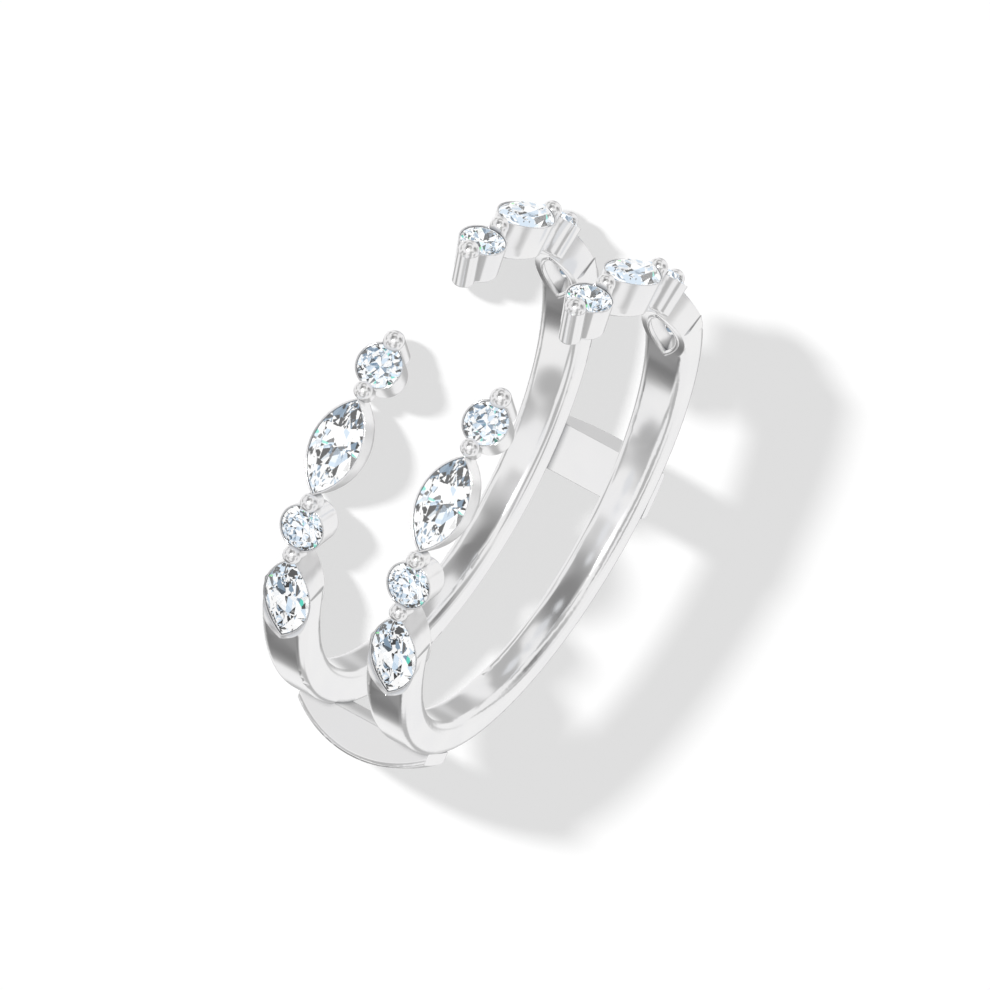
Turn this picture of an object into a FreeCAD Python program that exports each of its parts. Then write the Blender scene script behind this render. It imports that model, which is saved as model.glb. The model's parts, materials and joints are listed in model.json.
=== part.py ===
import FreeCAD, Part
import math
import os
from collections import namedtuple

import Sketcher
from FreeCAD import Placement, Rotation, Vector

# Ring guard enhancer: two open bands of white gold, joined by two domed bridges, which hold
# another ring in the slot between them. Z is the axis of the finger hole, and z = 0 is the
# middle of the slot. The open ends face -Y, and every angle along a band is counted from
# there. Each stone is set up on the -Y side first, with its face towards -Y.

# Sizes in millimetres and degrees

SIZES = [
    ("finger_radius", 8.675, "finger hole, 17.35 across"),
    ("shank_radius", 10.08, "outer face of the bands"),
    ("shank_start", 77, "angle at which the plain shank starts"),
    ("shank_width", 2.09, "width of one band at its start"),
    ("slot_width", 2.66, "slot between the two bands"),
    ("taper_angle", 3.33, "slope of the outer side of a band"),
    ("inner_round", 0.38, "edge round at the finger hole"),
    ("outer_round", 0.35, "edge round at the outer face"),
    ("bridge_start", 128.5, "angle at which a bridge starts"),
    ("bridge_turn", 10.7, "angle that a bridge covers"),
    ("bridge_foot", 9.95, "radius of a bridge's inner face"),
    ("bridge_crest", 11.45, "radius of the top of a bridge"),
    ("bridge_arch", 4.47, "radius of a bridge's arched outline"),
    ("bridge_length", 5.66, "length of a bridge across the bands"),
    ("bridge_round", 0.2, "edge round of a bridge"),
    ("band_offset", 2.38, "stones' line from the middle plane"),
    ("first_angle", 20.4, "angle of the first stone"),
    ("angle_step", 19.8, "angle from one stone to the next"),
    ("bead_step", 6.45, "angle from a round stone to its beads"),
    ("end_step", 6.05, "angle from the first stone to the end bead"),
    ("girdle_radius", 9.96, "girdles' distance from the axis"),
    ("low_drop", 0.22, "how much deeper the last stone sits"),
    ("round_width", 1.72, "diameter of a round stone"),
    ("marquise_width", 1.92, "width of a marquise stone"),
    ("marquise_length", 3.86, "length of a marquise stone"),
    ("girdle_half", 0.015, "half the thickness of a girdle"),
    ("crown_height", 0.26, "girdle to table"),
    ("crown_angle", 35, "slope of the crown's main facets"),
    ("pavilion_angle", 40.5, "slope of the pavilion's main facets"),
    ("cup_foot", 8.5, "radius at which the cups end"),
    ("cup_wall", 0.075, "metal round a stone at its girdle"),
    ("cup_lean", 0.11, "how far a cup narrows towards its foot"),
    ("cup_lip", 0.05, "rim above the girdle"),
    ("foot_round", 0.28, "edge round at a cup's foot"),
    ("seat_gap", 0.045, "clearance between stone and metal"),
    ("round_azure", 0.55, "inset of the window under a round stone"),
    ("round_mouth", 0.21, "inset of its hole at the finger"),
    ("marquise_azure", 0.62, "inset of the window under a marquise"),
    ("marquise_mouth", 0.18, "inset of its hole at the finger"),
    ("recess_flare", 0.2, "flare of the shank's end round the stone"),
    ("recess_rise", 0.34, "height over which it flares"),
    ("bead_radius", 0.365, "rounded top of a post"),
    ("bead_height", 10.15, "radius of the middle of a bead"),
    ("post_radius", 0.345, "post below a bead"),
    ("end_bead_radius", 0.41, "rounded top of the post at the open end"),
    ("end_post_radius", 0.42, "post at the open end"),
    ("web_radius", 0.33, "web that joins two cups"),
    ("web_height", 9.6, "radius of the middle of a web"),
    ("web_length", 1.15, "length of a web along the band"),
]

# Outline of a stone seen on its table: an arc radius and the distance of the arcs' centres
# from the stone's middle, on either side for a marquise and none for a round stone.

Outline = namedtuple("Outline", "name radius aside azure mouth")

MARQUISE_ARC = "(Sizes.marquise_length ^ 2 + Sizes.marquise_width ^ 2) / (4 * Sizes.marquise_width)"

ROUND = Outline("Round", "Sizes.round_width / 2", "0", "Sizes.round_azure", "Sizes.round_mouth")

MARQUISE = Outline(
    "Marquise",
    MARQUISE_ARC,
    f"({MARQUISE_ARC} - Sizes.marquise_width / 2)",
    "Sizes.marquise_azure",
    "Sizes.marquise_mouth",
)

# Rings of facets. The azimuths are counted at the centre of the outline's arc, reach is the
# fraction of the arc's radius at which the facet meets its level, and a negative slope
# belongs to the pavilion.

FacetRing = namedtuple("FacetRing", "level reach slope azimuths")

ROUND_FACETS = [
    FacetRing("girdle", 0.9952, 90, [11.25 * step + 5.625 for step in range(32)]),
    FacetRing("girdle", 1.0, 35, [45 * step for step in range(8)]),
    FacetRing("girdle", 0.9808, 41, [22.5 * step + 11.25 for step in range(16)]),
    FacetRing("table", 0.924, 21, [45 * step + 22.5 for step in range(8)]),
    FacetRing("girdle", 1.0, -40.5, [45 * step for step in range(8)]),
    FacetRing("girdle", 0.9808, -42.5, [22.5 * step + 11.25 for step in range(16)]),
]

MARQUISE_FACETS = [
    FacetRing("girdle", 0.9957, 90, [-48, -37.3, -26.7, -16, -5.3, 5.3, 16, 26.7, 37.3, 48]),
    FacetRing("girdle", 1.0, 35, [-40, -13.3, 13.3, 40]),
    FacetRing("girdle", 0.9932, 41, [-46.7, -33.3, -20, -6.7, 6.7, 20, 33.3, 46.7]),
    FacetRing("table", 0.973, 21, [-26.7, 0, 26.7]),
    FacetRing("girdle", 1.0, -40.5, [-40, -13.3, 13.3, 40]),
    FacetRing("girdle", 0.9932, -42.5, [-46.7, -33.3, -20, -6.7, 6.7, 20, 33.3, 46.7]),
]

# The four stones at each side of the gap, from the gap onwards

Setting = namedtuple("Setting", "name outline steps drop")

SETTINGS = [
    Setting("round_1", ROUND, 0, "0"),
    Setting("marquise_1", MARQUISE, 1, "0"),
    Setting("round_2", ROUND, 2, "0"),
    Setting("marquise_2", MARQUISE, 3, "Sizes.low_drop"),
]

STANDING = Rotation(Vector(1, 0, 0), 90)


def make_sheet(doc):
    """Writes the sizes into a sheet, one row each: name, number and meaning."""
    sheet = doc.addObject("Spreadsheet::Sheet", "Sizes")
    for row, (alias, number, meaning) in enumerate(SIZES, start=1):
        sheet.set(f"A{row}", alias)
        sheet.set(f"B{row}", str(number))
        sheet.set(f"C{row}", meaning)
        sheet.setAlias(f"B{row}", alias)
    doc.recompute()
    return sheet


def bind(item, expressions):
    """Binds properties of a document object to expressions of the sheet."""
    for path, expression in expressions.items():
        item.setExpression(path, expression)


def origin_plane(body, role):
    """One of a body's own origin planes."""
    return next(plane for plane in body.Origin.OriginFeatures if plane.Role == role)


def new_sketch(body, name, role):
    """An empty sketch on one of a body's origin planes."""
    sketch = body.newObject("Sketcher::SketchObject", name)
    sketch.AttachmentSupport = [(origin_plane(body, role), "")]
    sketch.MapMode = "FlatFace"
    return sketch


def dimension(sketch, kind, ends, expression):
    """Adds a dimension to a sketch and binds it to an expression."""
    number = abs(float(sketch.evalExpression(expression)))
    index = sketch.addConstraint(Sketcher.Constraint(kind, *ends, number))
    sketch.setExpression(f"Constraints[{index}]", expression)


def frustum(doc, name, foot, rise, foot_radius, top_radius):
    """A cone or cylinder that stands on the -Y side, its foot at the radius foot."""
    straight = foot_radius == top_radius
    item = doc.addObject("Part::Cylinder" if straight else "Part::Cone", name)
    item.Placement = Placement(Vector(), STANDING)
    radii = {"Radius": foot_radius} if straight else {"Radius1": foot_radius, "Radius2": top_radius}
    bind(item, radii)
    bind(item, {"Height": rise, "Placement.Base.y": f"-({foot})"})
    return item


def lens_sketch(body, name, outline, level, inset):
    """The two arcs of a marquise at some distance from the axis, drawn in by an inset."""
    sketch = new_sketch(body, name, "XZ_Plane")
    bind(sketch, {"AttachmentOffset.Base.z": level})
    radius = f"{outline.radius} - ({inset})"
    reach = float(sketch.evalExpression(radius))
    aside = float(sketch.evalExpression(outline.aside))
    half = math.acos(aside / reach)
    for turn in (1, -1):
        circle = Part.Circle(Vector(0, -turn * aside, 0), Vector(0, 0, 1), reach)
        sketch.addGeometry(Part.ArcOfCircle(circle, turn * math.pi / 2 - half, turn * math.pi / 2 + half))
    sketch.addConstraint(
        [
            Sketcher.Constraint("Coincident", 0, 2, 1, 1),
            Sketcher.Constraint("Coincident", 1, 2, 0, 1),
            Sketcher.Constraint("PointOnObject", 0, 3, -2),
            Sketcher.Constraint("PointOnObject", 1, 3, -2),
            Sketcher.Constraint("PointOnObject", 0, 1, -1),
            Sketcher.Constraint("Equal", 0, 1),
        ]
    )
    dimension(sketch, "Radius", (0,), radius)
    dimension(sketch, "DistanceY", (0, 3, -1, 1), outline.aside)
    return sketch


def outline_solid(doc, name, outline, foot, rise, foot_inset, top_inset):
    """A solid of a stone's outline, drawn in by an inset at its foot and its top."""
    if outline.aside == "0":
        foot_radius = f"{outline.radius} - ({foot_inset})"
        top_radius = f"{outline.radius} - ({top_inset})"
        return frustum(doc, name, foot, rise, foot_radius, top_radius)
    body = doc.addObject("PartDesign::Body", name)
    profile = lens_sketch(body, f"{name}Foot", outline, foot, foot_inset)
    section = lens_sketch(body, f"{name}Top", outline, f"{foot} + {rise}", top_inset)
    wall = body.newObject("PartDesign::AdditiveLoft", f"{name}Wall")
    wall.Profile = profile
    wall.Sections = [section]
    wall.Ruled = True
    return body


def fused(doc, name, items):
    """One solid of several document objects."""
    item = doc.addObject("Part::MultiFuse", name)
    item.Shapes = items
    return item


def cut(doc, name, base, tool):
    """A document object less another one."""
    item = doc.addObject("Part::Cut", name)
    item.Base = base
    item.Tool = tool
    return item


def mirrored(doc, name, source, normal):
    """The mirror image of a document object at a plane through the origin."""
    item = doc.addObject("Part::Mirroring", name)
    item.Source = source
    item.Normal = normal
    return item


def placed(doc, name, source, angle, drop="0"):
    """A link to a master, turned along the upper band to an angle and let in by drop."""
    item = doc.addObject("App::Link", name)
    item.LinkedObject = source
    bind(
        item,
        {
            "LinkPlacement.Rotation.Angle": f"({angle}) * 1 deg",
            "LinkPlacement.Base.x": f"-({drop}) * sin(({angle}) * 1 deg)",
            "LinkPlacement.Base.y": f"({drop}) * cos(({angle}) * 1 deg)",
            "LinkPlacement.Base.z": "Sizes.band_offset",
        },
    )
    return item


def stone_angle(steps):
    """The angle of a stone that is some steps away from the first one."""
    return f"Sizes.first_angle + {steps} * Sizes.angle_step"


def make_cup(doc, outline, sheet):
    """A cup that narrows towards the finger, with its lower edge rounded."""
    cone = outline_solid(
        doc,
        f"{outline.name}CupBlank",
        outline,
        "Sizes.cup_foot",
        "Sizes.girdle_radius + Sizes.cup_lip - Sizes.cup_foot",
        "Sizes.cup_lean - Sizes.cup_wall",
        "-Sizes.cup_wall",
    )
    doc.recompute()
    cup = doc.addObject("Part::Fillet", f"{outline.name}Cup")
    cup.Base = cone
    cup.Edges = [
        (number, sheet.foot_round, sheet.foot_round)
        for number, edge in enumerate(cone.Shape.Edges, start=1)
        if abs(edge.BoundBox.YMin + sheet.cup_foot) < 1e-3 and abs(edge.BoundBox.YMax + sheet.cup_foot) < 1e-3
    ]
    return cup


def make_seat(doc, outline):
    """What the stone takes out of the metal, with the hole below it."""
    name = outline.name
    edge = "Sizes.girdle_half + 0.015"
    crown_run = "Sizes.crown_height / tan(Sizes.crown_angle * 1 deg)"
    depth = f"({outline.azure} + Sizes.seat_gap) * tan(Sizes.pavilion_angle * 1 deg)"
    girdle = outline_solid(
        doc,
        f"{name}SeatGirdle",
        outline,
        f"Sizes.girdle_radius - ({edge})",
        f"2 * ({edge})",
        "-Sizes.seat_gap",
        "-Sizes.seat_gap",
    )
    crown = outline_solid(
        doc,
        f"{name}SeatCrown",
        outline,
        f"Sizes.girdle_radius + {edge}",
        "Sizes.crown_height",
        "-Sizes.seat_gap",
        f"{crown_run} - Sizes.seat_gap",
    )
    pavilion = outline_solid(
        doc,
        f"{name}SeatPavilion",
        outline,
        f"Sizes.girdle_radius - ({edge}) - {depth}",
        depth,
        outline.azure,
        "-Sizes.seat_gap",
    )
    azure = outline_solid(
        doc,
        f"{name}Azure",
        outline,
        "Sizes.finger_radius",
        f"Sizes.girdle_radius - ({edge}) - {depth} - Sizes.finger_radius",
        outline.mouth,
        outline.azure,
    )
    mouth = outline_solid(
        doc, f"{name}Mouth", outline, "Sizes.finger_radius - 0.7", "0.7", outline.mouth, outline.mouth
    )
    return fused(doc, f"{name}Seat", [girdle, crown, pavilion, azure, mouth])


def make_post(doc, name, foot, radius, bead_radius):
    """A post with a rounded top that holds the edge of a stone."""
    shaft = frustum(doc, f"{name}Shaft", foot, f"Sizes.bead_height - ({foot})", radius, radius)
    bead = doc.addObject("Part::Sphere", f"{name}Bead")
    bead.Placement = Placement(Vector(), STANDING)
    bead.Angle1 = -30
    bind(bead, {"Radius": bead_radius, "Placement.Base.y": "-Sizes.bead_height"})
    return fused(doc, name, [shaft, bead])


def make_web(doc):
    """A short round bar along the band, which joins two cups below a bead."""
    web = doc.addObject("Part::Cylinder", "Web")
    web.Placement = Placement(Vector(), Rotation(Vector(0, 1, 0), 90))
    bind(
        web,
        {
            "Radius": "Sizes.web_radius",
            "Height": "Sizes.web_length",
            "Placement.Base.x": "-Sizes.web_length / 2",
            "Placement.Base.y": "-Sizes.web_height",
        },
    )
    return web


def outer_edges(shape, test):
    """Names of the edges of a shape that pass a test."""
    return [f"Edge{number}" for number, edge in enumerate(shape.Edges, start=1) if test(edge)]


def make_shank(doc, sheet):
    """The plain part of a quarter, from a stone to the back, tapered on its outer side."""
    body = doc.addObject("PartDesign::Body", "Shank")
    bind(body, {"Placement.Base.z": "Sizes.slot_width / 2"})

    outline = new_sketch(body, "ShankOutline", "XY_Plane")
    first = math.radians(sheet.shank_start - 90)
    up = Vector(0, 0, 1)
    for radius in (sheet.shank_radius, sheet.finger_radius):
        outline.addGeometry(Part.ArcOfCircle(Part.Circle(Vector(), up, radius), first, math.pi / 2))
    for angle in (first, math.pi / 2):
        ray = Vector(math.cos(angle), math.sin(angle), 0)
        outline.addGeometry(Part.LineSegment(ray * sheet.finger_radius, ray * sheet.shank_radius))
    outline.addConstraint(
        [
            Sketcher.Constraint("Coincident", 0, 3, -1, 1),
            Sketcher.Constraint("Coincident", 1, 3, -1, 1),
            Sketcher.Constraint("Coincident", 2, 1, 1, 1),
            Sketcher.Constraint("Coincident", 2, 2, 0, 1),
            Sketcher.Constraint("Coincident", 3, 1, 1, 2),
            Sketcher.Constraint("Coincident", 3, 2, 0, 2),
            Sketcher.Constraint("PointOnObject", -1, 1, 2),
            Sketcher.Constraint("PointOnObject", 0, 2, -2),
            Sketcher.Constraint("PointOnObject", 1, 2, -2),
        ]
    )
    dimension(outline, "Radius", (0,), "Sizes.shank_radius")
    dimension(outline, "Radius", (1,), "Sizes.finger_radius")
    dimension(outline, "DistanceY", (0, 1, -1, 1), "Sizes.shank_radius * cos(Sizes.shank_start * 1 deg)")

    pad = body.newObject("PartDesign::Pad", "ShankPad")
    pad.Profile = outline
    bind(pad, {"Length": "Sizes.shank_width"})
    doc.recompute()

    wedge = new_sketch(body, "TaperWedge", "YZ_Plane")
    near = -sheet.shank_radius * math.cos(math.radians(sheet.shank_start))
    far = sheet.shank_radius + 1
    drop = (far - near) * math.tan(math.radians(sheet.taper_angle))
    corners = [
        Vector(near, sheet.shank_width, 0),
        Vector(far, sheet.shank_width, 0),
        Vector(far, sheet.shank_width - drop, 0),
    ]
    for start, end in zip(corners, corners[1:] + corners[:1]):
        wedge.addGeometry(Part.LineSegment(start, end))
    wedge.addConstraint(
        [
            Sketcher.Constraint("Coincident", 0, 2, 1, 1),
            Sketcher.Constraint("Coincident", 1, 2, 2, 1),
            Sketcher.Constraint("Coincident", 2, 2, 0, 1),
            Sketcher.Constraint("Horizontal", 0),
            Sketcher.Constraint("Vertical", 1),
        ]
    )
    reach = "(Sizes.shank_radius * (1 + cos(Sizes.shank_start * 1 deg)) + 1)"
    dimension(wedge, "DistanceX", (0, 1, -1, 1), "Sizes.shank_radius * cos(Sizes.shank_start * 1 deg)")
    dimension(wedge, "DistanceY", (-1, 1, 0, 1), "Sizes.shank_width")
    dimension(wedge, "DistanceX", (0, 1, 0, 2), reach)
    dimension(wedge, "DistanceY", (1, 2, 1, 1), f"{reach} * tan(Sizes.taper_angle * 1 deg)")

    taper = body.newObject("PartDesign::Pocket", "Taper")
    taper.Profile = wedge
    taper.Type = "ThroughAll"
    taper.Midplane = True
    doc.recompute()

    def runs_along(radius):
        return lambda edge: (
            edge.Length > radius
            and all(abs(math.hypot(p.x, p.y) - radius) < 1e-3 for p in edge.discretize(5))
        )

    for name, radius, alias in (
        ("OuterRound", sheet.shank_radius, "outer_round"),
        ("InnerRound", sheet.finger_radius, "inner_round"),
    ):
        base = body.Tip
        fillet = body.newObject("PartDesign::Fillet", name)
        fillet.Base = (base, outer_edges(base.Shape, runs_along(radius)))
        bind(fillet, {"Radius": f"Sizes.{alias}"})
        doc.recompute()
    return body


def make_bridge(doc, sheet):
    """A domed bar across both bands, at the +X side."""
    body = doc.addObject("PartDesign::Body", "BridgeRight")
    body.Placement = Placement(Vector(), Rotation(Vector(0, 0, 1), 1))
    bind(body, {"Placement.Rotation.Angle": "(Sizes.bridge_start - 90) * 1 deg"})

    profile = new_sketch(body, "BridgeProfile", "XZ_Plane")
    half = sheet.bridge_length / 2
    centre = sheet.bridge_crest - sheet.bridge_arch
    spread = math.asin(half / sheet.bridge_arch)
    shoulder = centre + sheet.bridge_arch * math.cos(spread)
    arc = Part.Circle(Vector(centre, 0, 0), Vector(0, 0, 1), sheet.bridge_arch)
    profile.addGeometry(Part.ArcOfCircle(arc, -spread, spread))
    profile.addGeometry(Part.LineSegment(Vector(shoulder, half, 0), Vector(sheet.bridge_foot, half, 0)))
    profile.addGeometry(Part.LineSegment(Vector(sheet.bridge_foot, half, 0), Vector(sheet.bridge_foot, -half, 0)))
    profile.addGeometry(Part.LineSegment(Vector(sheet.bridge_foot, -half, 0), Vector(shoulder, -half, 0)))
    profile.addConstraint(
        [
            Sketcher.Constraint("PointOnObject", 0, 3, -1),
            Sketcher.Constraint("Coincident", 0, 2, 1, 1),
            Sketcher.Constraint("Coincident", 1, 2, 2, 1),
            Sketcher.Constraint("Coincident", 2, 2, 3, 1),
            Sketcher.Constraint("Coincident", 3, 2, 0, 1),
            Sketcher.Constraint("Horizontal", 1),
            Sketcher.Constraint("Symmetric", 2, 1, 2, 2, -1),
            Sketcher.Constraint("Symmetric", 0, 1, 0, 2, -1),
        ]
    )
    dimension(profile, "Radius", (0,), "Sizes.bridge_arch")
    dimension(profile, "DistanceX", (-1, 1, 0, 3), "Sizes.bridge_crest - Sizes.bridge_arch")
    dimension(profile, "DistanceX", (-1, 1, 2, 1), "Sizes.bridge_foot")
    dimension(profile, "DistanceY", (2, 2, 2, 1), "Sizes.bridge_length")

    turn = body.newObject("PartDesign::Revolution", "BridgeTurn")
    turn.Profile = profile
    turn.ReferenceAxis = (profile, ["V_Axis"])
    bind(turn, {"Angle": "Sizes.bridge_turn * 1 deg"})
    doc.recompute()

    def on_the_rim(edge):
        points = edge.discretize(5)
        level = max(p.z for p in points) - min(p.z for p in points)
        return level > half and max(math.hypot(p.x, p.y) for p in points) > sheet.bridge_crest - 1e-3

    rim = body.newObject("PartDesign::Fillet", "BridgeRim")
    rim.Base = (turn, outer_edges(turn.Shape, on_the_rim))
    bind(rim, {"Radius": "Sizes.bridge_round"})
    return body


def make_settings(doc, masters):
    """The cups, posts and webs at the +X side of the upper band, open to the finger."""
    items = []
    for setting in SETTINGS:
        cup = masters[f"{setting.outline.name}Cup"]
        items.append(placed(doc, f"Cup_{setting.name}", cup, stone_angle(setting.steps), setting.drop))
    first = stone_angle(0)
    second = stone_angle(2)
    items.append(placed(doc, "EndPost", masters["EndPostMaster"], f"{first} - Sizes.end_step"))
    shared = (f"{first} + Sizes.bead_step", f"{second} - Sizes.bead_step", f"{second} + Sizes.bead_step")
    for number, angle in enumerate(shared, start=1):
        items.append(placed(doc, f"SharedPost{number}", masters["SharedPostMaster"], angle))
        items.append(placed(doc, f"SharedWeb{number}", masters["Web"], angle))
    finger = doc.addObject("Part::Cylinder", "Finger")
    bind(finger, {"Radius": "Sizes.finger_radius", "Height": "2 * Sizes.band_offset"})
    return cut(doc, "Settings", fused(doc, "SettingsSolid", items), finger)


def make_mount(doc, sheet):
    """The whole metal mount as one solid, lying on its lower side."""
    masters = {
        "RoundCup": make_cup(doc, ROUND, sheet),
        "MarquiseCup": make_cup(doc, MARQUISE, sheet),
        "EndPostMaster": make_post(
            doc, "EndPostMaster", "Sizes.cup_foot", "Sizes.end_post_radius", "Sizes.end_bead_radius"
        ),
        "SharedPostMaster": make_post(
            doc, "SharedPostMaster", "Sizes.web_height", "Sizes.post_radius", "Sizes.bead_radius"
        ),
        "Web": make_web(doc),
    }
    seats = {"Round": make_seat(doc, ROUND), "Marquise": make_seat(doc, MARQUISE)}
    settings = make_settings(doc, masters)

    flare = outline_solid(
        doc,
        "Flare",
        MARQUISE,
        "Sizes.girdle_radius + Sizes.cup_lip",
        "2 * Sizes.recess_rise",
        "-Sizes.cup_wall",
        "-Sizes.cup_wall - 2 * Sizes.recess_flare",
    )
    recess = placed(doc, "Recess", flare, stone_angle(3), "Sizes.low_drop")
    shank = cut(doc, "RecessedShank", make_shank(doc, sheet), recess)
    stone_seats = fused(
        doc,
        "StoneSeats",
        [
            placed(doc, f"Seat_{setting.name}", seats[setting.outline.name], stone_angle(setting.steps), setting.drop)
            for setting in SETTINGS
        ],
    )
    quarter = cut(doc, "UpperRight", fused(doc, "SolidQuarter", [shank, settings]), stone_seats)
    upper = fused(doc, "UpperBand", [quarter, mirrored(doc, "UpperLeft", quarter, (1, 0, 0))])
    lower = mirrored(doc, "LowerBand", upper, (0, 0, 1))

    bridge = make_bridge(doc, sheet)
    mount = fused(doc, "ring_mount", [upper, lower, bridge, mirrored(doc, "BridgeLeft", bridge, (1, 0, 0))])
    mount.Label = "ring_mount"
    return mount


def slice_off(stone, point, normal):
    """Cuts away what lies beyond a plane."""
    waste = Part.makeBox(9, 9, 9, Vector(-4.5, -4.5, 0))
    waste.Placement = Placement(point, Rotation(Vector(0, 0, 1), normal))
    return stone.cut(waste)


def cut_stone(sheet, radius, aside, half_length, half_width, rings):
    """A faceted stone with its girdle in the XY plane and its table towards +Z."""
    top = sheet.girdle_half + sheet.crown_height
    stone = Part.makeBox(2.2 * half_length, 2.2 * half_width, 3, Vector(-1.1 * half_length, -1.1 * half_width, top - 3))
    inset = sheet.crown_height / math.tan(math.radians(sheet.crown_angle))
    for ring in rings:
        slope = math.radians(abs(ring.slope))
        crown = 1 if ring.slope > 0 else -1
        reach = ring.reach * (radius - inset if ring.level == "table" else radius)
        level = top if ring.level == "table" else crown * sheet.girdle_half
        for azimuth in ring.azimuths:
            for side in (1, -1) if aside else (1,):
                turn = math.radians(azimuth + 90) * side
                ray = Vector(math.cos(turn), math.sin(turn), 0)
                point = ray * reach + Vector(0, -side * aside, level)
                normal = ray * math.sin(slope) + Vector(0, 0, crown * math.cos(slope))
                stone = slice_off(stone, point, normal)
    return stone


def make_stones(doc, sheet):
    """The sixteen stones, each one placed in its seat."""
    round_half = sheet.round_width / 2
    width, length = sheet.marquise_width, sheet.marquise_length
    arc = (length**2 + width**2) / (4 * width)
    cuts = {
        "Round": cut_stone(sheet, round_half, 0, round_half, round_half, ROUND_FACETS),
        "Marquise": cut_stone(sheet, arc, arc - width / 2, length / 2, width / 2, MARQUISE_FACETS),
    }
    stones = []
    for band, level in (("upper", sheet.band_offset), ("lower", -sheet.band_offset)):
        for side, sign in (("right", 1), ("left", -1)):
            for setting in SETTINGS:
                angle = sheet.first_angle + setting.steps * sheet.angle_step
                drop = 0 if setting.drop == "0" else sheet.low_drop
                turn = Rotation(Vector(0, 0, 1), sign * angle)
                seat = turn.multVec(Vector(0, drop - sheet.girdle_radius, 0)) + Vector(0, 0, level)
                stone = doc.addObject("Part::Feature", f"{setting.name}_{band}_{side}")
                stone.Label = f"{setting.name}_{band}_{side}"
                stone.Shape = cuts[setting.outline.name].copy()
                stone.Placement = Placement(seat, turn.multiply(STANDING))
                stones.append(stone)
    return stones


def check(doc, pieces):
    """Stops unless every object was made and every piece is one valid solid."""
    failed = [item.Name for item in doc.Objects if {"Invalid", "Error"} & set(item.State)]
    if failed:
        raise RuntimeError(f"not made: {failed}")
    for piece in pieces:
        shape = piece.Shape
        if shape.isNull() or not shape.isValid() or len(shape.Solids) != 1:
            raise RuntimeError(f"{piece.Label} is not one valid solid")


def main():
    doc = FreeCAD.newDocument("RingGuardEnhancer")
    sheet = make_sheet(doc)
    pieces = [make_mount(doc, sheet)] + make_stones(doc, sheet)
    doc.recompute()
    check(doc, pieces)
    os.makedirs("parts", exist_ok=True)
    for piece in pieces:
        piece.Shape.exportStep(f"parts/{piece.Label}.step")
        print(piece.Label, round(piece.Shape.Volume, 3))


main()
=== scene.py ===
"""Looks of a ring guard enhancer: white gold mount, sixteen cut stones, pale studio."""

from __future__ import annotations

import json
import logging
import math
from dataclasses import dataclass, field
from enum import Enum

import bpy
from mathutils import Matrix, Vector

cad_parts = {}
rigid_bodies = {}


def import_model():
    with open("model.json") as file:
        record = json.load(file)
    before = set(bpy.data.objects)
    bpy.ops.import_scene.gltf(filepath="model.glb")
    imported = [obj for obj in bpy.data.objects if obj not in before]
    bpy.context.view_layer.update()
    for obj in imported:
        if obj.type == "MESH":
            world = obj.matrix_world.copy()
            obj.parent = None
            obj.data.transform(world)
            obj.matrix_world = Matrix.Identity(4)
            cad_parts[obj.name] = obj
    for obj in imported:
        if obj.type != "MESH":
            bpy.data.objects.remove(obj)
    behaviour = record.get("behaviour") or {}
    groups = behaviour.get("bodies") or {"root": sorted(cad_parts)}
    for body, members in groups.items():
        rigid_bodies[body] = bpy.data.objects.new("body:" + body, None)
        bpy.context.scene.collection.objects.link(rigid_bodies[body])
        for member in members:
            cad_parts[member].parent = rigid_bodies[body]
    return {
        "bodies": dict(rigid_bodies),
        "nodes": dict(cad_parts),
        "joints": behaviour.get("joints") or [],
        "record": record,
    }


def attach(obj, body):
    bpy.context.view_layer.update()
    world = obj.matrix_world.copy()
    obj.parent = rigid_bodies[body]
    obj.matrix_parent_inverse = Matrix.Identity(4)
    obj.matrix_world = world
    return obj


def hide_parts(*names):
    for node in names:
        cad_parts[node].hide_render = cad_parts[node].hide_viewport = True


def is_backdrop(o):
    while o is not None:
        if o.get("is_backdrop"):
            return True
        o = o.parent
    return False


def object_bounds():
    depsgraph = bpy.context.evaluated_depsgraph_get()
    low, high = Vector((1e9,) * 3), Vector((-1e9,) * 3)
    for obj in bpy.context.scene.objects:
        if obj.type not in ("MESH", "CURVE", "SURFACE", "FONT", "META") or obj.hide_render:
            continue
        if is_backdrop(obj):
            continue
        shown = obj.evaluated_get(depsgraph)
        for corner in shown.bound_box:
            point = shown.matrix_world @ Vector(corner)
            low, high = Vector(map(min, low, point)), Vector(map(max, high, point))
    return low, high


LOG = logging.getLogger("ring_guard")
MM = 0.001
BODY = "root"


class Cut(Enum):
    """The two cuts of stone that the ring carries."""

    ROUND = "round"
    MARQUISE = "marquise"


def linear(colour: str) -> tuple[float, float, float, float]:
    """Turns an sRGB hex colour to the linear values of a shader.

    Args:
        colour: The colour as six hex digits with a leading #.

    Returns:
        Red, green, blue and an alpha of 1.
    """
    values = [int(colour[at : at + 2], 16) / 255 for at in (1, 3, 5)]
    turned = [v / 12.92 if v <= 0.04045 else ((v + 0.055) / 1.055) ** 2.4 for v in values]
    return (*turned, 1.0)


def add_node(
    tree: bpy.types.NodeTree,
    kind: str,
    settings: dict[str, object] | None = None,
    links: dict[str, object] | None = None,
) -> bpy.types.Node:
    """Adds a node with its settings and its links.

    Args:
        tree: The node tree that the node goes into.
        kind: Blender's name of the node.
        settings: Properties, or input sockets by name, with their values.
        links: Input sockets by name, each with the output socket that feeds it.

    Returns:
        The new node.
    """
    node = tree.nodes.new(kind)
    for name, value in (settings or {}).items():
        if hasattr(node, name):
            setattr(node, name, value)
        else:
            node.inputs[int(name) if name.isdigit() else name].default_value = value
    for name, source in (links or {}).items():
        tree.links.new(source, node.inputs[int(name) if name.isdigit() else name])
    return node


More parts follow.
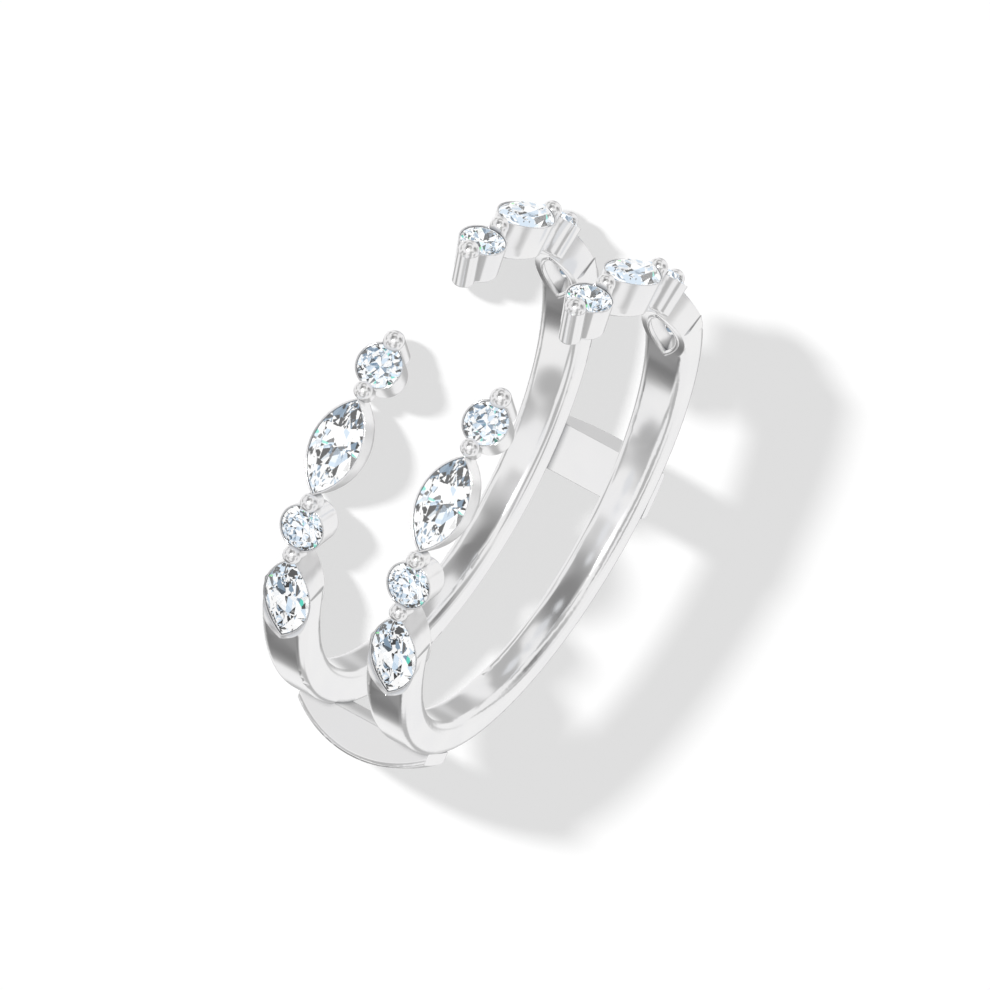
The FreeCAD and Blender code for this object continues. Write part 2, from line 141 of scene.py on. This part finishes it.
def set_stops(ramp: bpy.types.ColorRamp, stops: tuple[tuple[float, str], ...]) -> None:
    """Gives a colour ramp flat colours, so that a value picks one of them.

    Args:
        ramp: The ramp, which has two stops to start with.
        stops: Where each colour starts, and the colour.
    """
    ramp.interpolation = "CONSTANT"
    for element, (position, colour) in zip(ramp.elements, stops):
        element.position = position
        element.color = linear(colour)
    for position, colour in stops[2:]:
        ramp.elements.new(position).color = linear(colour)


def new_material(name: str) -> bpy.types.Material:
    """Makes a node material with an empty tree.

    Args:
        name: The material's name.

    Returns:
        The new material.
    """
    material = bpy.data.materials.new(name)
    material.use_nodes = True
    material.node_tree.nodes.clear()
    return material


def dress(piece: bpy.types.Object, material: bpy.types.Material) -> None:
    """Gives a piece one material all over.

    Args:
        piece: The object to dress.
        material: Its new material.
    """
    piece.data.materials.clear()
    piece.data.materials.append(material)


def keep_light_simple(piece: bpy.types.Object) -> None:
    """Takes a metal piece out of bounced, mirrored and refracted light, but not out of shadows.

    Args:
        piece: The metal piece.
    """
    piece.visible_diffuse = False
    piece.visible_glossy = False
    piece.visible_transmission = False


def take_alone(piece: bpy.types.Object) -> None:
    """Makes a piece the only selected one and the active one.

    Args:
        piece: The object that the next operators act on.
    """
    bpy.ops.object.select_all(action="DESELECT")
    bpy.context.view_layer.objects.active = piece
    piece.select_set(True)


@dataclass(frozen=True)
class PolishedWhiteGold:
    """Cast 14 carat white gold with a bright rhodium plating, mirror polished on a wheel.

    Attributes:
        colour, shade: The plating where it is brightest, and in its soft swirls.
        painted_crevice_shade: Painted shade, the grey given to spots that are little open.
        roughness, haze: The gloss, and how much the swirls take from it.
        swirl_mm: How wide a swirl is.
        swirl_detail, swirl_fineness: How fine the swirls break up.
        swirl_range: The strengths between which a swirl takes the gloss.
        edge_mm, edge_samples: The rounding of the edges, and the rays that work it out.
        crevice_mm: How near another face the painted shade starts.
        crevice_range: How open a spot is that gets all the painted shade, and one that gets none.
        crevice_samples: The rays that tell how open a spot is.
    """

    colour: str = "#f4f3f2"
    shade: str = "#ebebed"
    # Painted shade for the crevices.
    painted_crevice_shade: str = "#66686c"
    roughness: float = 0.10
    haze: float = 0.05
    swirl_mm: float = 2.5
    swirl_detail: float = 3.0
    swirl_fineness: float = 0.55
    swirl_range: tuple[float, float] = (0.35, 0.7)
    edge_mm: float = 0.045
    edge_samples: int = 6
    crevice_mm: float = 0.35
    crevice_range: tuple[float, float] = (0.2, 0.8)
    crevice_samples: int = 8

    def make(self) -> bpy.types.Material:
        """Makes the plated metal.

        Returns:
            The material, with a faint polishing haze and softened edges.
        """
        # The plating gives the eye a cold, near-white mirror with soft grey streaks.
        material = new_material("rhodium_plated_white_gold")
        tree = material.node_tree
        place = add_node(tree, "ShaderNodeTexCoord")
        # Polishing compound leaves soft swirls a few millimetres across.
        swirl = add_node(
            tree,
            "ShaderNodeTexNoise",
            {
                "Scale": 1 / (self.swirl_mm * MM),
                "Detail": self.swirl_detail,
                "Roughness": self.swirl_fineness,
            },
            {"Vector": place.outputs["Object"]},
        )
        tint = add_node(
            tree,
            "ShaderNodeMix",
            {"data_type": "RGBA", "6": linear(self.colour), "7": linear(self.shade)},
            {"0": swirl.outputs["Fac"]},
        )
        # Painted shade: the corners between posts and cups, and other spots that are little open, get
        # a darker grey in the colour.
        crevice_openness = add_node(
            tree,
            "ShaderNodeAmbientOcclusion",
            {"samples": self.crevice_samples, "Distance": self.crevice_mm * MM},
        )
        all_shaded_at, unshaded_at = self.crevice_range
        open_part = add_node(
            tree,
            "ShaderNodeMapRange",
            {"From Min": all_shaded_at, "From Max": unshaded_at},
            {"Value": crevice_openness.outputs["AO"]},
        )
        shaded_plating = add_node(
            tree,
            "ShaderNodeMix",
            {"data_type": "RGBA", "6": linear(self.painted_crevice_shade)},
            {"0": open_part.outputs["Result"], "7": tint.outputs[2]},
        )
        faint, strong = self.swirl_range
        rough = add_node(
            tree,
            "ShaderNodeMapRange",
            {
                "From Min": faint,
                "From Max": strong,
                "To Min": self.roughness,
                "To Max": self.roughness + self.haze,
            },
            {"Value": swirl.outputs["Fac"]},
        )
        # A polishing wheel rounds every edge by a few hundredths of a millimetre.
        edge = add_node(
            tree, "ShaderNodeBevel", {"samples": self.edge_samples, "Radius": self.edge_mm * MM}
        )
        shader = add_node(
            tree,
            "ShaderNodeBsdfPrincipled",
            {"Metallic": 1.0},
            {
                "Base Color": shaded_plating.outputs[2],
                "Roughness": rough.outputs["Result"],
                "Normal": edge.outputs["Normal"],
            },
        )
        add_node(tree, "ShaderNodeOutputMaterial", {}, {"Surface": shader.outputs["BSDF"]})
        return material


@dataclass(frozen=True)
class ClearDiamond:
    """Colourless diamond, cut with flat facets and polished to a perfect gloss.

    Attributes:
        colour, ior: The clear stone, and how strongly it bends light.
        deep_turns: The turns inside a stone after which a painted glint takes the place of the light.
        any_turn: Between no turn of a ray and its first.
        painted_reflection_tone: The painted tone of a stone's mirror image in the metal.
        painted_glint_strength: How bright the painted glints glow.
        spread: How finely the facets' directions are told apart.
        painted_glint_tones: Where each tone of the painted glints starts, by chance, and the tone,
            from painted black to painted white.
    """

    colour: str = "#ffffff"
    ior: float = 2.417
    deep_turns: float = 2.5
    any_turn: float = 0.5
    # The painted reflection's tone.
    painted_reflection_tone: str = "#dfe1e4"
    painted_glint_strength: float = 1.1
    spread: float = 6.0
    # Tones of the painted glints, from painted black to painted white.
    painted_glint_tones: tuple[tuple[float, str], ...] = (
        (0.0, "#05070a"),
        (0.22, "#7d95ab"),
        (0.32, "#cfe0f0"),
        (0.46, "#ffffff"),
    )

    def make(self) -> bpy.types.Material:
        """Makes the stone's material.

        Returns:
            The clear material.
        """
        # High refraction and painted glints give the eye hard, small facets, some black and some
        # bright white.
        material = new_material("colourless_diamond")
        tree = material.node_tree
        shader = add_node(
            tree,
            "ShaderNodeBsdfPrincipled",
            {
                "Base Color": linear(self.colour),
                "Roughness": 0.0,
                "IOR": self.ior,
                "Transmission Weight": 1.0,
            },
        )
        # Painted glints: after many turns inside, each facet glows with a flat tone of its own,
        # picked by chance from its direction.
        facet = add_node(tree, "ShaderNodeNewGeometry")
        mosaic = add_node(
            tree,
            "ShaderNodeTexVoronoi",
            {"Scale": self.spread},
            {"Vector": facet.outputs["True Normal"]},
        )
        chance = add_node(tree, "ShaderNodeSeparateColor", {}, {"Color": mosaic.outputs["Color"]})
        tone = add_node(tree, "ShaderNodeValToRGB", {}, {"Fac": chance.outputs["Green"]})
        set_stops(tone.color_ramp, self.painted_glint_tones)
        path = add_node(tree, "ShaderNodeLightPath")
        deep = add_node(
            tree,
            "ShaderNodeMath",
            {"operation": "GREATER_THAN", "1": self.deep_turns},
            {"0": path.outputs["Glossy Depth"]},
        )
        # Painted reflection: a stone seen in the metal glows as a flat pale patch.
        outside = add_node(
            tree,
            "ShaderNodeMath",
            {"operation": "LESS_THAN", "1": self.any_turn},
            {"0": path.outputs["Transmission Depth"]},
        )
        turned = add_node(
            tree,
            "ShaderNodeMath",
            {"operation": "GREATER_THAN", "1": self.any_turn},
            {"0": path.outputs["Glossy Depth"]},
        )
        mirrored = add_node(
            tree,
            "ShaderNodeMath",
            {"operation": "MULTIPLY"},
            {"0": outside.outputs["Value"], "1": turned.outputs["Value"]},
        )
        painted_shine = add_node(
            tree,
            "ShaderNodeMix",
            {"data_type": "RGBA", "7": linear(self.painted_reflection_tone)},
            {"0": mirrored.outputs["Value"], "6": tone.outputs["Color"]},
        )
        painted_glint = add_node(
            tree, "ShaderNodeEmission", {"Strength": self.painted_glint_strength}, {"Color": painted_shine.outputs[2]}
        )
        flat = add_node(
            tree,
            "ShaderNodeMath",
            {"operation": "MAXIMUM"},
            {"0": deep.outputs["Value"], "1": mirrored.outputs["Value"]},
        )
        stone = add_node(
            tree,
            "ShaderNodeMixShader",
            {},
            {
                "0": flat.outputs["Value"],
                "1": shader.outputs["BSDF"],
                "2": painted_glint.outputs["Emission"],
            },
        )
        add_node(tree, "ShaderNodeOutputMaterial", {}, {"Surface": stone.outputs["Shader"]})
        return material


@dataclass(frozen=True)
class PaleBoard:
    """Matt white paperboard of the studio floor."""

    colour: str = "#fbfbfb"
    roughness: float = 0.9
    specular: float = 0.2

    def make(self) -> bpy.types.Material:
        """Makes the floor's material.

        Returns:
            The matt white material.
        """
        # Its matt face gives the eye plain white, with soft grey where the ring's shadow falls.
        material = new_material("white_paperboard")
        tree = material.node_tree
        shader = add_node(
            tree,
            "ShaderNodeBsdfPrincipled",
            {
                "Base Color": linear(self.colour),
                "Roughness": self.roughness,
                "Specular IOR Level": self.specular,
            },
        )
        add_node(tree, "ShaderNodeOutputMaterial", {}, {"Surface": shader.outputs["BSDF"]})
        return material


@dataclass
class MetalMount:
    """The cast mount: both bands, their bridges, cups, posts and beads.

    Attributes:
        node: The CAD node that the mount shows.
        merge_mm: How near two vertices are that belong together.
        sharp_deg: The angle from which an edge stays sharp.
        flat_match: How nearly a face has to face a flat side's way, as a cosine.
        face_weight: How far the largest faces rule the shading.
        bridge_ends_deg: The angles of the bridges' flat ends.
        taper_deg: The slope of the bands' outer sides.
        finish: The metal.
    """

    node: str = "ring_mount"
    merge_mm: float = 0.0004
    sharp_deg: float = 24.0
    flat_match: float = 0.99999
    face_weight: int = 100
    bridge_ends_deg: tuple[float, float] = (128.5, 139.2)
    taper_deg: float = 3.33
    finish: PolishedWhiteGold = field(default_factory=PolishedWhiteGold)

    def flat_sides(self) -> list[Vector]:
        """Lists the directions that the mount's flat sides face.

        Returns:
            The normals of the bands' sides and of the bridges' ends.
        """
        taper = math.radians(self.taper_deg)
        sides = [Vector((0, 0, 1))]
        for turn in (1, -1):
            sides.append(Vector((0, turn * math.sin(taper), math.cos(taper))))
            for angle in map(math.radians, self.bridge_ends_deg):
                sides.append(Vector((turn * math.cos(angle), math.sin(angle), 0)))
        return sides

    def build(self, frame: dict) -> bpy.types.Object:
        """Polishes a copy of the CAD solid, which keeps its exact shape.

        Args:
            frame: The loaded frame.

        Returns:
            The polished mount.
        """
        source = frame["nodes"][self.node]
        mount = source.copy()
        mount.data = source.data.copy()
        mount.name = "polished_mount"
        mount.parent = None
        bpy.context.collection.objects.link(mount)
        take_alone(mount)
        bpy.ops.object.mode_set(mode="EDIT")
        bpy.ops.mesh.select_all(action="SELECT")
        bpy.ops.mesh.remove_doubles(threshold=self.merge_mm * MM)
        bpy.ops.mesh.select_mode(type="FACE")
        bpy.ops.mesh.select_all(action="DESELECT")
        bpy.ops.object.mode_set(mode="OBJECT")
        bpy.ops.mesh.customdata_custom_splitnormals_clear()
        bpy.ops.object.shade_smooth_by_angle(angle=math.radians(self.sharp_deg))
        sides = self.flat_sides()
        for face in mount.data.polygons:
            face.select = any(abs(face.normal.dot(side)) > self.flat_match for side in sides)
        bpy.ops.object.mode_set(mode="EDIT")
        bpy.ops.mesh.faces_shade_flat()
        bpy.ops.mesh.select_mode(type="VERT")
        bpy.ops.object.mode_set(mode="OBJECT")
        weighted = mount.modifiers.new("face_weighted", "WEIGHTED_NORMAL")
        weighted.keep_sharp = True
        weighted.weight = self.face_weight
        bpy.ops.object.modifier_apply(modifier=weighted.name)
        dress(mount, self.finish.make())
        keep_light_simple(mount)
        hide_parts(self.node)
        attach(mount, BODY)
        return mount


@dataclass
class AlmondRims:
    """The round rims that frame the almond openings in the inner face of the bands.

    Attributes:
        stone_deg: The angle between -Y and an opening, about the finger hole's axis.
        band_mm: The height of a band's middle.
        reach_mm: How far the wire's middle is from the finger hole's axis.
        arc_mm, aside_mm: The radius of the almond's arcs, and how far their centres are off.
        wire_mm: The radius of the wire.
        tip_mm: How near the almond's middle line a point is that is moved onto it.
        halves_mm: How near the ends of both arcs are when they join.
        weld_mm: How near two vertices of the wire's skin are that belong together.
        points: The points of an arc's full circle.
        section_steps: The steps in the wire's round section.
        smooth_deg: The angle from which an edge of the wire would stay sharp.
    """

    stone_deg: float = 79.8
    band_mm: float = 2.38
    reach_mm: float = 8.70
    arc_mm: float = 2.09
    aside_mm: float = 1.46
    wire_mm: float = 0.085
    tip_mm: float = 0.055
    halves_mm: float = 0.01
    weld_mm: float = 0.001
    points: int = 160
    section_steps: int = 4
    smooth_deg: float = 40.0

    def bend_wire(self) -> None:
        """Lays the almond outline, one edge thick, onto the finger hole's wall on the -Y side."""
        bpy.ops.object.select_all(action="DESELECT")
        bpy.ops.mesh.primitive_circle_add(
            vertices=self.points, radius=self.arc_mm * MM, fill_type="NOTHING"
        )
        rim = bpy.context.object
        bpy.ops.object.mode_set(mode="EDIT")
        bpy.ops.mesh.select_all(action="SELECT")
        bpy.ops.mesh.bisect(
            plane_co=(0, self.aside_mm * MM, 0), plane_no=(0, 1, 0), clear_inner=True
        )
        bpy.ops.mesh.select_all(action="SELECT")
        bpy.ops.transform.translate(value=(0, -self.aside_mm * MM, 0))
        bpy.ops.mesh.select_all(action="DESELECT")
        bpy.ops.object.mode_set(mode="OBJECT")
        for point in rim.data.vertices:
            point.select = abs(point.co.y) < self.tip_mm * MM
        bpy.ops.object.mode_set(mode="EDIT")
        bpy.ops.transform.resize(value=(1, 0, 1), center_override=(0, 0, 0))
        bpy.ops.mesh.select_all(action="SELECT")
        bpy.ops.mesh.duplicate()
        bpy.ops.transform.resize(value=(1, -1, 1), center_override=(0, 0, 0))
        bpy.ops.mesh.select_all(action="SELECT")
        bpy.ops.mesh.remove_doubles(threshold=self.halves_mm * MM)
        bpy.ops.transform.rotate(value=math.pi / 2, orient_axis="X", center_override=(0, 0, 0))
        bpy.ops.transform.translate(value=(0, -self.reach_mm * MM, 0))
        bpy.ops.object.mode_set(mode="OBJECT")
        wall = rim.modifiers.new("finger_hole", "CAST")
        wall.cast_type = "CYLINDER"
        wall.factor = 1.0
        wall.use_radius_as_size = False
        wall.size = self.reach_mm * MM
        bpy.ops.object.modifier_apply(modifier=wall.name)

    def round_wire(self) -> bpy.types.Object:
        """Gives the active outline its round section.

        Returns:
            The finished rim.
        """
        bpy.ops.object.convert(target="CURVE")
        wire = bpy.context.object
        wire.data.bevel_depth = self.wire_mm * MM
        wire.data.bevel_resolution = self.section_steps
        bpy.ops.object.convert(target="MESH")
        bpy.ops.object.mode_set(mode="EDIT")
        bpy.ops.mesh.select_all(action="SELECT")
        bpy.ops.mesh.remove_doubles(threshold=self.weld_mm * MM)
        bpy.ops.mesh.normals_make_consistent(inside=False)
        bpy.ops.object.mode_set(mode="OBJECT")
        bpy.ops.object.shade_smooth_by_angle(angle=math.radians(self.smooth_deg))
        return bpy.context.object

    def place(self, rim: bpy.types.Object, name: str, side: int, band: int) -> bpy.types.Object:
        """Puts a copy of the rim into its place.

        Args:
            rim: The finished rim on the -Y side.
            name: The copy's name.
            side: 1 for the +X side, -1 for the -X side.
            band: 1 for the upper band, -1 for the lower one.

        Returns:
            The copy.
        """
        piece = rim.copy()
        piece.data = rim.data.copy()
        piece.name = name
        bpy.context.collection.objects.link(piece)
        take_alone(piece)
        bpy.ops.object.mode_set(mode="EDIT")
        bpy.ops.mesh.select_all(action="SELECT")
        angle = -math.radians(self.stone_deg) * side
        bpy.ops.transform.rotate(value=angle, orient_axis="Z", center_override=(0, 0, 0))
        bpy.ops.transform.translate(value=(0, 0, band * self.band_mm * MM))
        bpy.ops.object.mode_set(mode="OBJECT")
        return piece

    def build(self, material: bpy.types.Material) -> list[bpy.types.Object]:
        """Models one rim and copies it to all four openings.

        Args:
            material: The mount's metal.

        Returns:
            The four rims.
        """
        self.bend_wire()
        master = self.round_wire()
        rims = []
        for band_name, band in (("upper", 1), ("lower", -1)):
            for side_name, side in (("right", 1), ("left", -1)):
                rim = self.place(master, f"almond_rim_{band_name}_{side_name}", side, band)
                dress(rim, material)
                keep_light_simple(rim)
                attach(rim, BODY)
                rims.append(rim)
        bpy.data.objects.remove(master)
        return rims


@dataclass
class CutStones:
    """The sixteen stones, which stay as they are cut in the CAD model."""

    finish: ClearDiamond = field(default_factory=ClearDiamond)

    def build(self, frame: dict) -> list[bpy.types.Object]:
        """Dresses every stone.

        Args:
            frame: The loaded frame.

        Returns:
            The stones.
        """
        material = self.finish.make()
        stones = []
        for name, stone in frame["nodes"].items():
            if name.startswith(tuple(cut.value for cut in Cut)):
                dress(stone, material)
                stone.visible_diffuse = False
                stones.append(stone)
        return stones


@dataclass
class Studio:
    """The floor, the light and the camera.

    Attributes:
        floor_mm: The side of the square floor.
        view_mm: The width of the picture.
        towards_camera, camera_right, camera_down: The camera's directions.
        aim_right_mm, aim_down_mm: The picture's middle, seen from the frame's origin.
        camera_mm: How far off the camera stands.
        clip_mm: How near and how far the camera sees.
        sun_right, sun_up: How far the key light's direction leans from the camera's.
        sun_strength, sun_softness_deg: The key light.
        fill_strength: The light that the tent throws onto the floor.
        cloth_white: The tent's brightest white in the metal.
        fold_scale, fold_detail: How large and how fine the folds of the cloth are.
        fold_range, fold_shades: The folds' strengths, and the tones that they get.
        pane_scale, pane_strength: How fine and how bright the windows for the stones are.
        flags: Each flag's direction, where its edge starts and ends, and its shade.
        panes: Where each tone of the windows starts, by chance, and the tone.
        board: The floor's material.
    """

    floor_mm: float = 900.0
    view_mm: float = 36.86
    towards_camera: tuple[float, float, float] = (0.49821, -0.80459, 0.32314)
    camera_right: tuple[float, float, float] = (-0.55281, -0.00765, 0.83327)
    camera_down: tuple[float, float, float] = (0.66797, 0.59378, 0.44860)
    aim_right_mm: float = 0.4597
    aim_down_mm: float = 0.5105
    camera_mm: float = 100.0
    clip_mm: tuple[float, float] = (1.0, 2000.0)
    sun_right: float = -0.14
    sun_up: float = 0.08
    sun_strength: float = 5.6
    sun_softness_deg: float = 1.4
    fill_strength: float = 0.76
    cloth_white: float = 0.97
    fold_scale: float = 2.1
    fold_detail: float = 0.5
    fold_range: tuple[float, float] = (0.38, 0.54)
    fold_shades: tuple[float, float] = (0.52, 1.0)
    pane_scale: float = 7.0
    pane_strength: float = 1.25
    flags: tuple[tuple[tuple[float, float, float], float, float, float], ...] = (
        ((0.95, 0.05, -0.32), 0.975, 0.999, 0.50),
        ((0.66, -0.66, -0.32), 0.80, 0.95, 1.3),
        ((0.50, 0.80, -0.32), 0.88, 1.00, 0.35),
        ((-0.5, -0.3, 0.8), 0.86, 0.99, 0.50),
        ((0.1, -0.95, -0.2), 0.88, 0.99, 0.50),
    )
    panes: tuple[tuple[float, str], ...] = (
        (0.0, "#020305"),
        (0.22, "#6f8aa3"),
        (0.30, "#c9dcee"),
        (0.44, "#ffffff"),
        (0.90, "#e6eef5"),
        (0.97, "#3fd6c0"),
        (0.985, "#46e05a"),
    )
    board: PaleBoard = field(default_factory=PaleBoard)

    def build(self, lowest: float) -> None:
        """Sets up the studio round the ring.

        Args:
            lowest: Height of the ring's lowest point, in metres.
        """
        self.make_floor(lowest)
        self.make_camera()
        self.make_sun()
        self.make_world()
        bpy.context.scene.view_settings.view_transform = "Standard"

    def make_floor(self, lowest: float) -> None:
        """Lays the floor just below the ring.

        Args:
            lowest: Height of the ring's lowest point, in metres.
        """
        bpy.ops.object.select_all(action="DESELECT")
        bpy.ops.mesh.primitive_plane_add(size=self.floor_mm * MM, location=(0, 0, lowest))
        floor = bpy.context.object
        floor.name = "studio_floor"
        dress(floor, self.board.make())
        floor.visible_transmission = False
        floor.visible_glossy = False
        floor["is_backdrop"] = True

    def camera_axes(self) -> tuple[Vector, Vector, Vector]:
        """Gives the camera's directions.

        Returns:
            To the right in the picture, up in it, and from the ring towards the camera.
        """
        return Vector(self.camera_right), -Vector(self.camera_down), Vector(self.towards_camera)

    def make_camera(self) -> None:
        """Points the camera as the photograph was taken, with parallel rays."""
        right, up, back = self.camera_axes()
        aim = (right * self.aim_right_mm - up * self.aim_down_mm) * MM
        turn = Matrix((right, up, back)).transposed().to_4x4()
        data = bpy.data.cameras.new("camera")
        data.type = "ORTHO"
        data.ortho_scale = self.view_mm * MM
        data.clip_start, data.clip_end = (limit * MM for limit in self.clip_mm)
        camera = bpy.data.objects.new("camera", data)
        camera.matrix_world = Matrix.Translation(aim + back * self.camera_mm * MM) @ turn
        bpy.context.collection.objects.link(camera)
        bpy.context.scene.camera = camera

    def make_sun(self) -> None:
        """Adds the soft key light, from the upper left and just in front."""
        right, up, back = self.camera_axes()
        ray = (right * self.sun_right + up * self.sun_up + back).normalized()
        data = bpy.data.lights.new("key_light", "SUN")
        data.energy = self.sun_strength
        data.angle = math.radians(self.sun_softness_deg)
        sun = bpy.data.objects.new("key_light", data)
        sun.rotation_mode = "QUATERNION"
        sun.rotation_quaternion = ray.to_track_quat("Z", "Y")
        bpy.context.collection.objects.link(sun)

    def make_world(self) -> None:
        """Makes the light tent: soft white walls, four grey flags and one bright one."""
        world = bpy.data.worlds.new("light_tent")
        world.use_nodes = True
        bpy.context.scene.world = world
        tree = world.node_tree
        tree.nodes.clear()
        place = add_node(tree, "ShaderNodeTexCoord")
        light = add_node(tree, "ShaderNodeLightPath")
        # Soft folds of the tent's cloth give the metal its smooth streaks.
        folds = add_node(
            tree,
            "ShaderNodeTexNoise",
            {"Scale": self.fold_scale, "Detail": self.fold_detail},
            {"Vector": place.outputs["Generated"]},
        )
        fold_start, fold_end = self.fold_range
        fold_grey, fold_white = self.fold_shades
        cloth = add_node(
            tree,
            "ShaderNodeMapRange",
            {
                "interpolation_type": "SMOOTHSTEP",
                "From Min": fold_start,
                "From Max": fold_end,
                "To Min": fold_grey,
                "To Max": fold_white,
            },
            {"Value": folds.outputs["Fac"]},
        )
        value = cloth.outputs["Result"]
        for direction, near, far, shade in self.flags:
            facing = add_node(
                tree,
                "ShaderNodeVectorMath",
                {"operation": "DOT_PRODUCT", "1": tuple(Vector(direction).normalized())},
                {"0": place.outputs["Generated"]},
            )
            flag = add_node(
                tree,
                "ShaderNodeMapRange",
                {
                    "interpolation_type": "SMOOTHSTEP",
                    "From Min": near,
                    "From Max": far,
                    "To Min": 1.0,
                    "To Max": shade,
                },
                {"Value": facing.outputs["Value"]},
            )
            lit = add_node(
                tree,
                "ShaderNodeMath",
                {"operation": "MULTIPLY"},
                {"0": value, "1": flag.outputs["Result"]},
            )
            value = lit.outputs["Value"]
        tent = add_node(
            tree, "ShaderNodeMath", {"operation": "MINIMUM", "1": self.cloth_white}, {"0": value}
        )
        # A cut stone gathers light from many small windows, so it sees a finer pattern.
        windows = add_node(
            tree,
            "ShaderNodeTexVoronoi",
            {"Scale": self.pane_scale, "Randomness": 1.0},
            {"Vector": place.outputs["Generated"]},
        )
        chance = add_node(tree, "ShaderNodeSeparateColor", {}, {"Color": windows.outputs["Color"]})
        panes = add_node(tree, "ShaderNodeValToRGB", {}, {"Fac": chance.outputs["Red"]})
        set_stops(panes.color_ramp, self.panes)
        for_stones = add_node(
            tree,
            "ShaderNodeBackground",
            {"Strength": self.pane_strength},
            {"Color": panes.outputs["Color"]},
        )
        for_metal = add_node(
            tree, "ShaderNodeBackground", {"Strength": 1.0}, {"Color": tent.outputs["Value"]}
        )
        white = linear("#ffffff")
        for_board = add_node(
            tree, "ShaderNodeBackground", {"Color": white, "Strength": self.fill_strength}
        )
        for_camera = add_node(tree, "ShaderNodeBackground", {"Color": white, "Strength": 1.0})
        shown = for_metal.outputs[0]
        for ray, background in (
            ("Is Diffuse Ray", for_board),
            ("Is Transmission Ray", for_stones),
            ("Is Camera Ray", for_camera),
        ):
            mix = add_node(
                tree,
                "ShaderNodeMixShader",
                {},
                {"0": light.outputs[ray], "1": shown, "2": background.outputs[0]},
            )
            shown = mix.outputs[0]
        add_node(tree, "ShaderNodeOutputWorld", {}, {"Surface": shown})


def main() -> None:
    """Builds the ring's looks on a floor at the model's lowest point, and reports each piece."""
    logging.basicConfig(level=logging.INFO, format="%(name)s: %(message)s")
    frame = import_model()
    cad_box = [list(corner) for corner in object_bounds()]
    mount = MetalMount().build(frame)
    rims = AlmondRims().build(mount.data.materials[0])
    stones = CutStones().build(frame)
    Studio().build(cad_box[0][2])
    for piece in (mount, *rims, *stones):
        LOG.info("%s: %d faces", piece.name, len(piece.data.polygons))


if __name__ == "__main__":
    main()
